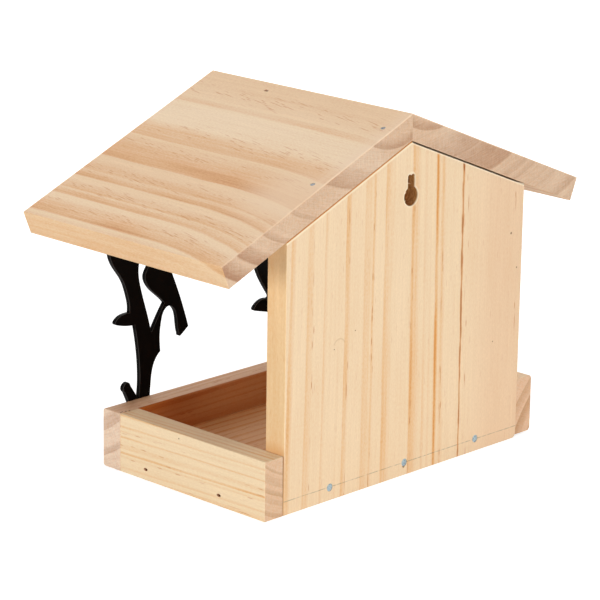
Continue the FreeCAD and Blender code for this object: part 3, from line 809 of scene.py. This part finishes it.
SIDE_LEFT_FIGURE = Figure(
    "cream", ACROSS_Z, ACROSS_X, ACROSS_Y, pith=(-170.0, -150.0), face=-OUTER_SIDE,
    rings=below_top((
        (1.0, 3.0, 0.4, 0.5), (8.0, 3.0, 0.36, 0.5), (15.0, 3.4, 0.5, 0.5), (22.0, 3.0, 0.4, 0.5),
        (28.0, 2.6, 0.4, 0.5),
    )),
    blush=NO_BLUSH, canals=below_top(((11.0, 1.0), (24.0, 1.0))), lean=0.03, seed=29.0,
    ends=((-108.3, 8.0, 0.5, 0.45), (-117.7, 10.0, 0.8, 0.45), (-133.0, 4.0, 0.5, 0.5)),
)
FRONT_FIGURE = Figure(
    "rose", ACROSS_Z, ACROSS_Y, ACROSS_X, pith=(-58.5, -141.8), face=-103.3,
    rings=(
        (-104.0, 5.0, 0.5, 0.4), (-106.6, 0.8, 0.4, 0.5), (-109.0, 0.8, 0.4, 0.5), (-115.3, 4.5, 0.42, 0.4),
        (-118.2, 0.9, 0.3, 0.5), (-121.0, 0.9, 0.44, 0.5), (-124.0, 0.9, 0.34, 0.5), (-128.2, 5.0, 0.5, 0.4),
        (-131.5, 1.0, 0.36, 0.5), (-134.5, 0.9, 0.3, 0.5), (-139.5, 5.0, 0.5, 0.4),
    ),
    ends=((-115.3, 9.0, 0.34, 0.75), (-128.2, 4.0, 0.42, 0.5), (-139.5, 3.0, 0.3, 0.4)), end_base=0.2,
    blush=NO_BLUSH, canals=((-110.0, 1.5), (-122.0, 1.5), (-134.0, 1.5)), lean=0.01, seed=37.0,
    # Painted shade: this edge tint darkens the front board's top, which lies under the roof.
    edge_tint=srgb(238, 226, 222),
)
FLOOR_FIGURE = Figure(
    "rose", ACROSS_Y, ACROSS_Z, ACROSS_X, pith=(40.0, -190.0), face=-125.5,
    rings=(
        (-20.0, 2.0, 0.5, 0.5), (-28.0, 3.0, 0.5, 0.5), (-35.0, 1.2, 0.4, 0.5), (-41.0, 2.4, 0.6, 0.4),
        (-48.0, 3.0, 0.6, 0.4), (-54.0, 1.2, 0.4, 0.5), (-60.0, 2.6, 0.7, 0.4), (-65.0, 1.2, 0.5, 0.5),
        (-71.0, 2.4, 0.7, 0.4), (-76.0, 1.2, 0.4, 0.5), (-81.0, 2.4, 0.7, 0.4), (-86.0, 1.4, 0.6, 0.5),
        (-91.0, 2.0, 0.7, 0.4), (-96.0, 1.6, 0.6, 0.5),
    ),
    blush=NO_BLUSH, canals=((-32.0, 2.0), (-55.0, 2.0), (-76.0, 2.0)), lean=0.01, wander=1.0, seed=41.0,
)


class BIRDTABLE_OT_back_panel(bpy.types.Operator):
    """Upright pine on the back panel, with its pencil line, split and scorched keyhole"""

    bl_idname = "birdtable.back_panel"
    bl_label = "Back panel"

    def execute(self, context):
        look = context.scene.bird_table.pine
        dress("back_panel", pine("pine_back_panel", look, PANEL_FIGURE, panel_marks))
        return {"FINISHED"}


class BIRDTABLE_OT_tray(bpy.types.Operator):
    """Pine on the four boards of the tray"""

    bl_idname = "birdtable.tray"
    bl_label = "Tray"

    def execute(self, context):
        look = context.scene.bird_table.pine
        # The inside tints are painted shade on the boards inside the tray, under the roof.
        inside = tray_shade_and_stains(tuple(look.inside))
        washed = tray_shade_and_stains(tuple(look.inside), srgb(252, 255, 255))
        deep_inside_shade = tray_shade_and_stains(tuple(look.deep_inside_shade))
        dress("tray_side_right", pine("pine_side_right", look, SIDE_RIGHT_FIGURE, washed))
        dress("tray_side_left", pine("pine_side_left", look, SIDE_LEFT_FIGURE, inside))
        dress("tray_front", pine("pine_front", look, FRONT_FIGURE, deep_inside_shade))
        dress("tray_floor", pine("pine_floor", look, FLOOR_FIGURE, inside))
        return {"FINISHED"}


class BIRDTABLE_OT_roof(bpy.types.Operator):
    """Pine on the two roof boards"""

    bl_idname = "birdtable.roof"
    bl_label = "Roof"

    def execute(self, context):
        look = context.scene.bird_table.pine
        for side, figure in (("right", ROOF_RIGHT_FIGURE), ("left", ROOF_LEFT_FIGURE)):
            dress("roof_board_" + side, pine("pine_roof_" + side, look, figure, roof_marks(figure)))
        return {"FINISHED"}


def black_coat(finish):
    """Satin black coat with a fine orange-peel surface, and a painted highlight along the rounded edges."""
    bench = Bench(bpy.data.materials.new("black_coat"))
    place = bench.place()
    peel = bench.noise(place, (0.6, 0.6, 0.6))
    cloud = bench.noise(place, (14.0, 14.0, 14.0), detail=3.0)
    colour = bench.mix(bench.span(cloud, 0.4, 0.75, 0.0, 0.5), tuple(finish.coat), srgb(11, 8, 8))
    # Painted highlight on the rounded edges, whose normals lie between the faces and the sides.
    facing = bench.facing(AXES[1])
    rim = bench.times(bench.span(facing, 0.15, 0.5), bench.fall(facing, 0.8, 0.96))
    colour = bench.mix(rim, colour, tuple(finish.coat_rim_highlight))
    roughness = bench.span(peel, 0.3, 0.7, 0.34, 0.46)
    return bench.finish(colour, roughness, bench.bump(peel, 0.02 * MM, 0.4), specular=0.03)


def scene_object(name, data):
    """Object of the data, put into the scene."""
    item = bpy.data.objects.new(name, data)
    bpy.context.scene.collection.objects.link(item)
    return item


def rounded_copy(node, name, finish):
    """Copy of a plate's solid, merged, with its sharp edges rounded and its coat laid on by modifiers."""
    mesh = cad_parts[node].data.copy()
    mesh.name = name
    work = bmesh.new()
    work.from_mesh(mesh)
    bmesh.ops.remove_doubles(work, verts=work.verts, dist=0.002 * MM)
    bmesh.ops.dissolve_limit(
        work, angle_limit=math.radians(0.5), verts=work.verts, edges=work.edges, delimit=set()
    )
    work.to_mesh(mesh)
    work.free()
    plate = scene_object(name, mesh)
    bevel = plate.modifiers.new("arris", "BEVEL")
    bevel.width = finish.arris_round
    bevel.segments = 3
    bevel.limit_method = "ANGLE"
    bevel.angle_limit = math.radians(50.0)
    bevel.use_clamp_overlap = True
    bevel.harden_normals = True
    layer = plate.modifiers.new("coat", "DISPLACE")
    layer.strength = finish.coat_depth
    layer.mid_level = 0.0
    return plate


class BIRDTABLE_OT_cut_outs(bpy.types.Operator):
    """Black cut-outs with rounded edges and a thin coat, in place of the sharp solids"""

    bl_idname = "birdtable.cut_outs"
    bl_label = "Cut-outs"

    def execute(self, context):
        finish = context.scene.bird_table.finish
        coat = black_coat(finish)
        for side in ("right", "left"):
            plate = rounded_copy("cut_out_" + side, "cut_out_plate_" + side, finish)
            give_material(plate.data, coat)
            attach(plate, "root")
            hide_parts("cut_out_" + side)
        return {"FINISHED"}


def zinc(name, plate, dull):
    """Zinc with dull spots and fine scratches."""
    bench = Bench(bpy.data.materials.new(name))
    place = bench.place()
    cloud = bench.noise(place, (0.7, 0.7, 0.7), detail=3.0)
    scratch = bench.noise(place, (0.15, 0.6, 0.9))
    colour = bench.mix(bench.span(cloud, 0.35, 0.7), plate, dull)
    roughness = bench.span(scratch, 0.3, 0.7, 0.28, 0.5)
    return bench.finish(colour, roughness, bench.bump(scratch, 0.05 * MM, 0.5), metallic=0.75)


def plain_steel(name, wire, rust):
    """Drawn steel wire with brown spots."""
    bench = Bench(bpy.data.materials.new(name))
    cloud = bench.noise(bench.place(), (0.4, 0.4, 0.4), detail=3.0)
    colour = bench.mix(bench.span(cloud, 0.45, 0.65), wire, rust)
    roughness = bench.span(cloud, 0.3, 0.7, 0.6, 0.8)
    return bench.finish(colour, roughness, bench.bump(cloud, 0.03 * MM, 0.4), specular=0.02)


def black_oxide():
    """Black oxide on screws, worn to grey in places."""
    bench = Bench(bpy.data.materials.new("black_oxide"))
    wear = bench.noise(bench.place(), (0.8, 0.8, 0.8), detail=4.0)
    colour = bench.mix(bench.span(wear, 0.55, 0.8), srgb(26, 25, 25), srgb(82, 80, 78))
    return bench.finish(colour, bench.span(wear, 0.3, 0.7, 0.3, 0.5), metallic=0.6)


class BIRDTABLE_OT_fasteners(bpy.types.Operator):
    """Zinc nails and pins, plain steel brads and black screws"""

    bl_idname = "birdtable.fasteners"
    bl_label = "Fasteners"

    def execute(self, context):
        finish = context.scene.bird_table.finish
        steel = plain_steel("plain_steel", tuple(finish.steel), srgb(70, 28, 8))
        dress("back_panel_nails", zinc("bright_zinc", tuple(finish.zinc), srgb(120, 140, 152)))
        dress("roof_pins", zinc("dull_zinc", tuple(finish.dull_zinc), srgb(104, 108, 112)))
        for node in ("side_brads", "front_brads"):
            dress(node, steel)
        dress("ridge_brads", plain_steel("worn_steel", tuple(finish.worn_steel), srgb(158, 130, 112)))
        dress("cut_out_screws", black_oxide())
        return {"FINISHED"}


# Splinters in the keyhole, in millimetres: start, run to the other end, bow in the middle and half thickness
SPLINTERS = (
    ((4.4, -0.3, 2.2), (-1.5, -0.2, -0.3), (-0.1, 0.1, 0.2), 0.28),
    ((4.3, -0.4, 1.5), (-0.9, -0.2, 0.5), (0.0, 0.1, 0.1), 0.2),
    ((2.4, -1.6, 5.7), (-4.4, -0.3, -0.6), (0.0, 0.1, 0.5), 0.22),
    ((3.6, -0.6, -2.6), (-0.9, -0.3, 0.9), (0.1, 0.0, 0.1), 0.2),
)


def slivers(specs, sides=7, steps=12):
    """Tapered curved splinters as one mesh, in metres.

    Each is a tube along p(t) = start + t * run + sin(pi t) * bow, of radius thick * sin(pi t) ** 0.6 over
    an oval section, closed by a pole at each end.
    """
    t = np.linspace(0.0, 1.0, steps + 1)[1:-1, None, None]
    a = np.linspace(0.0, 2.0 * np.pi, sides, endpoint=False)[None, :, None]
    points = []
    faces = []
    for start, run, bow, thick in specs:
        start, run, bow = (np.array(part, float) for part in (start, run, bow))
        along = run / np.linalg.norm(run)
        one = np.cross(along, (0.3, 0.2, 0.93))
        one /= np.linalg.norm(one)
        two = np.cross(along, one)
        middle = start + t * run + np.sin(np.pi * t) * bow
        radius = thick * np.sin(np.pi * t) ** 0.6
        ring = middle + radius * (np.cos(a) * one + 0.55 * np.sin(a) * two)
        base = len(points)
        points += ring.reshape(-1, 3).tolist()
        points += [start.tolist(), (start + run).tolist()]
        rows = steps - 1
        index = base + np.arange(rows * sides).reshape(rows, sides)
        following = np.roll(index, -1, axis=1)
        quads = np.stack([index[:-1], following[:-1], following[1:], index[1:]], axis=-1)
        faces += quads.reshape(-1, 4).tolist()
        pole = base + rows * sides
        faces += np.stack([following[0], index[0], np.full(sides, pole)], axis=-1).tolist()
        faces += np.stack([index[-1], following[-1], np.full(sides, pole + 1)], axis=-1).tolist()
    return np.array(points) * MM, faces


def mesh_piece(name, points, faces, material):
    """Smooth object at the origin, riding on the part's one body."""
    mesh = bpy.data.meshes.new(name)
    mesh.from_pydata(points.tolist(), [], faces)
    mesh.validate()
    work = bmesh.new()
    work.from_mesh(mesh)
    bmesh.ops.recalc_face_normals(work, faces=work.faces)
    work.to_mesh(mesh)
    work.free()
    mesh.materials.append(material)
    mesh.polygons.foreach_set("use_smooth", [True] * len(mesh.polygons))
    piece = scene_object(name, mesh)
    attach(piece, "root")


def torn_fibre(look):
    """Pale torn fibre with streaks along it."""
    bench = Bench(bpy.data.materials.new("torn_fibre"))
    streak = bench.noise(bench.place(), (0.2, 0.2, 1.6), detail=3.0)
    colour = bench.mix(bench.span(streak, 0.3, 0.7), tuple(look.cream_pale), tuple(look.cream_late))
    return bench.finish(colour, 0.75, bench.bump(streak, 0.03 * MM, 0.5), specular=0.2)


class BIRDTABLE_OT_splinters(bpy.types.Operator):
    """Torn splinters that the router left in the keyhole"""

    bl_idname = "birdtable.splinters"
    bl_label = "Keyhole splinters"

    def execute(self, context):
        look = context.scene.bird_table.pine
        points, faces = slivers(SPLINTERS)
        mesh_piece("keyhole_splinters", points, faces, torn_fibre(look))
        return {"FINISHED"}


# Lamps of the stage in metres: place, width and height. Their power is the setting of the same name
LAMPS = (
    ("key", (0.28, 1.71, 0.15), 0.6, 0.6),
    ("side", (1.78, -0.5, 0.13), 0.6, 0.6),
    ("low", (1.25, 1.25, -0.095), 0.6, 0.07),
    ("top", (0.3, 0.1, 1.9), 1.2, 1.2),
    ("left", (-1.7, -0.7, 0.75), 1.2, 1.2),
    ("front", (-0.6, -1.7, 0.7), 1.2, 1.2),
)
LAMP_TARGET = Vector((0.0, -0.06, -0.05))

# The camera's place in metres and its directions, fitted to the corners of the boards
CAMERA_PLACE = (0.99354, 0.88737, 0.33222)
CAMERA_RIGHT = (-0.6971013, 0.71682561, 0.01451975)
CAMERA_UP = (-0.18868628, -0.20295668, 0.96083613)
CAMERA_BACK = (0.69169883, 0.66706044, 0.27673652)


def add_lamps(look):
    """Soft lamps that all point at the middle of the object."""
    for name, place, width, height in LAMPS:
        data = bpy.data.lights.new(name + "_lamp", "AREA")
        data.energy = getattr(look, name)
        data.shape = "RECTANGLE"
        data.size = width
        data.size_y = height
        lamp = scene_object(name + "_lamp", data)
        lamp.location = place
        lamp.rotation_euler = (LAMP_TARGET - Vector(place)).to_track_quat("-Z", "Y").to_euler()


def add_camera(lens):
    """The scene's camera, at its fitted place."""
    data = bpy.data.cameras.new("camera")
    data.lens = lens
    data.sensor_width = 36.0
    camera = scene_object("camera", data)
    turn = Matrix((CAMERA_RIGHT, CAMERA_UP, CAMERA_BACK)).transposed().to_4x4()
    camera.matrix_world = Matrix.Translation(CAMERA_PLACE) @ turn
    bpy.context.scene.camera = camera


def seen_ray(bench):
    """1 for rays that come from the camera or a shiny or clear surface, and 0 for light that spreads."""
    path = bench.node("ShaderNodeLightPath")
    shown = bench.plus(path.outputs["Is Camera Ray"], path.outputs["Is Glossy Ray"])
    return bench.math("MINIMUM", bench.plus(shown, path.outputs["Is Transmission Ray"]), 1.0)


def floor_material():
    """White floor that keeps a soft shadow: its own light is added to what the lamps give it."""
    bench = Bench(bpy.data.materials.new("floor_white"))
    shadowed = bench.node("ShaderNodeBsdfDiffuse")
    shadowed.inputs["Color"].default_value = (0.5, 0.5, 0.5, 1.0)
    reach = bench.node("ShaderNodeVectorMath", operation="LENGTH")
    bench.feed(reach.inputs[0], bench.node("ShaderNodeTexCoord").outputs["Object"])
    own = bench.node("ShaderNodeEmission")
    bench.feed(own.inputs["Strength"], bench.span(reach.outputs["Value"], 0.4, 1.2, 0.8, 1.0))
    added = bench.node("ShaderNodeAddShader")
    bench.feed(added.inputs[0], shadowed.outputs[0])
    bench.feed(added.inputs[1], own.outputs[0])
    spread = bench.node("ShaderNodeBsdfDiffuse")
    spread.inputs["Color"].default_value = (0.8, 0.8, 0.8, 1.0)
    chosen = bench.node("ShaderNodeMixShader")
    for socket, value in zip(chosen.inputs, (seen_ray(bench), spread.outputs[0], added.outputs[0])):
        bench.feed(socket, value)
    bench.feed(bench.node("ShaderNodeOutputMaterial").inputs[0], chosen.outputs[0])
    return bench.owner


def studio_world(ambient):
    """White where it is seen, and a plain even light elsewhere."""
    bench = Bench(bpy.data.worlds.new("studio"))
    light = bench.node("ShaderNodeBackground")
    light.inputs["Color"].default_value = (1.0, 1.0, 1.0, 1.0)
    bench.feed(light.inputs["Strength"], bench.span(seen_ray(bench), 0.0, 1.0, ambient, 1.0, smooth=False))
    bench.feed(bench.node("ShaderNodeOutputWorld").inputs[0], light.outputs[0])
    return bench.owner


class BIRDTABLE_OT_stage(bpy.types.Operator):
    """White floor, soft lamps and the camera"""

    bl_idname = "birdtable.stage"
    bl_label = "Stage"

    def execute(self, context):
        look = context.scene.bird_table.stage
        reach = look.floor_reach
        corners = [(-reach, -reach), (reach, -reach), (reach, reach), (-reach, reach)]
        mesh = bpy.data.meshes.new("floor")
        mesh.from_pydata([(x, y, BASE * MM) for x, y in corners], [], [(0, 1, 2, 3)])
        mesh.materials.append(floor_material())
        floor = scene_object("floor", mesh)
        add_lamps(look)
        add_camera(look.lens)
        context.scene.world = studio_world(look.ambient)
        context.scene.view_settings.view_transform = "Standard"
        return {"FINISHED"}


OPERATORS = (
    BIRDTABLE_OT_back_panel, BIRDTABLE_OT_tray, BIRDTABLE_OT_roof, BIRDTABLE_OT_cut_outs,
    BIRDTABLE_OT_fasteners, BIRDTABLE_OT_splinters, BIRDTABLE_OT_stage,
)


class BIRDTABLE_PT_looks(bpy.types.Panel):
    """Lists the steps that dress the bird table"""

    bl_idname = "BIRDTABLE_PT_looks"
    bl_label = "Bird table"
    bl_space_type = "VIEW_3D"
    bl_region_type = "UI"
    bl_category = "Bird table"

    def draw(self, context):
        for operator in OPERATORS:
            self.layout.operator(operator.bl_idname)


CLASSES = (PineLook, FinishLook, StageLook, BirdTableLook, *OPERATORS, BIRDTABLE_PT_looks)


def register():
    for item in CLASSES:
        bpy.utils.register_class(item)
    bpy.types.Scene.bird_table = PointerProperty(type=BirdTableLook)


def unregister():
    del bpy.types.Scene.bird_table
    for item in reversed(CLASSES):
        bpy.utils.unregister_class(item)


def main():
    register()
    bpy.ops.birdtable.back_panel()
    bpy.ops.birdtable.tray()
    bpy.ops.birdtable.roof()
    bpy.ops.birdtable.cut_outs()
    bpy.ops.birdtable.fasteners()
    bpy.ops.birdtable.splinters()
    bpy.ops.birdtable.stage()


if __name__ == "__main__":
    main()
